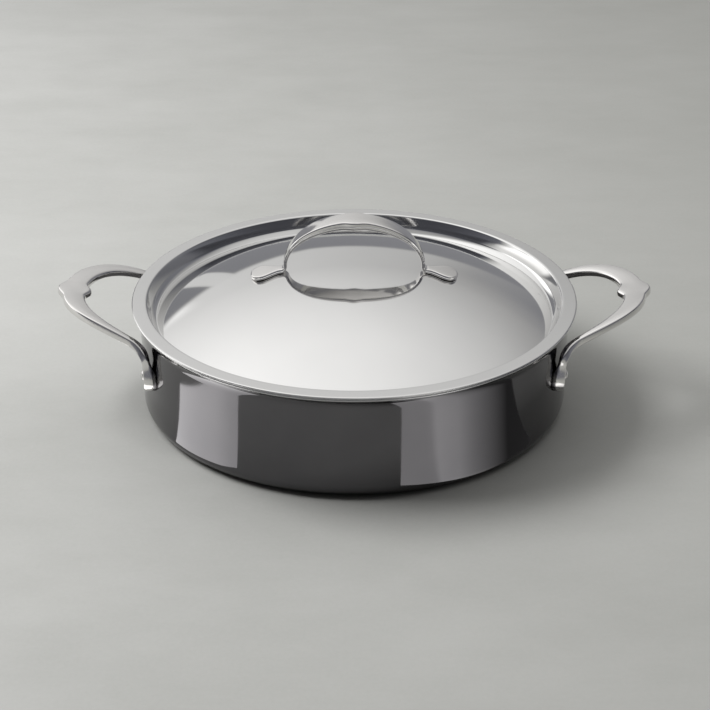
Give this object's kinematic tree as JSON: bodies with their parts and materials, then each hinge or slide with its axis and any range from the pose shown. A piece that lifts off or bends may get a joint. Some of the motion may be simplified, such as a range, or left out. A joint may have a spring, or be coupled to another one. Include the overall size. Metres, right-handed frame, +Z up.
{
  "type": "deep saute pan",
  "caption": "Deep round saute pan of clad polished steel with riveted cast loop handles and a lift-off domed lid with a cast strap handle.",
  "frame": {"origin": "centre of the flat base, on the surface that the pan stands on", "axes": "+Z up along the pan's axis, +X towards the right loop handle, and the lid's handle also runs along X"},
  "size_m": [0.421, 0.315, 0.1377],
  "materials": {
    "graphite_polished_steel": "dark graphite, polished to a mirror",
    "aluminium_core": "plain, sealed between the steel plies",
    "cooking_surface_steel": "fine brushed inside, polished rim",
    "cast_handle_steel": "cast, polished bright",
    "cast_lid_handle_steel": "cast, polished bright",
    "rivet_steel": "polished",
    "polished_lid_steel": "pressed sheet, polished to a mirror"
  },
  "bodies": {
    "pan": {"pan_outer_ply": "graphite_polished_steel", "pan_core": "aluminium_core", "pan_cooking_ply": "cooking_surface_steel", "handle_right": "cast_handle_steel", "handle_left": "cast_handle_steel", "rivet_right_front": "rivet_steel", "rivet_right_rear": "rivet_steel", "rivet_left_front": "rivet_steel", "rivet_left_rear": "rivet_steel"},
    "lid": {"lid": "polished_lid_steel", "lid_handle": "cast_lid_handle_steel"}
  },
  "joints": [
    {"name": "lid_lift", "type": "slide", "parent": "pan", "child": "lid", "axis": [0, 0, 1], "range_m": [0, 0.15]}
  ]
}
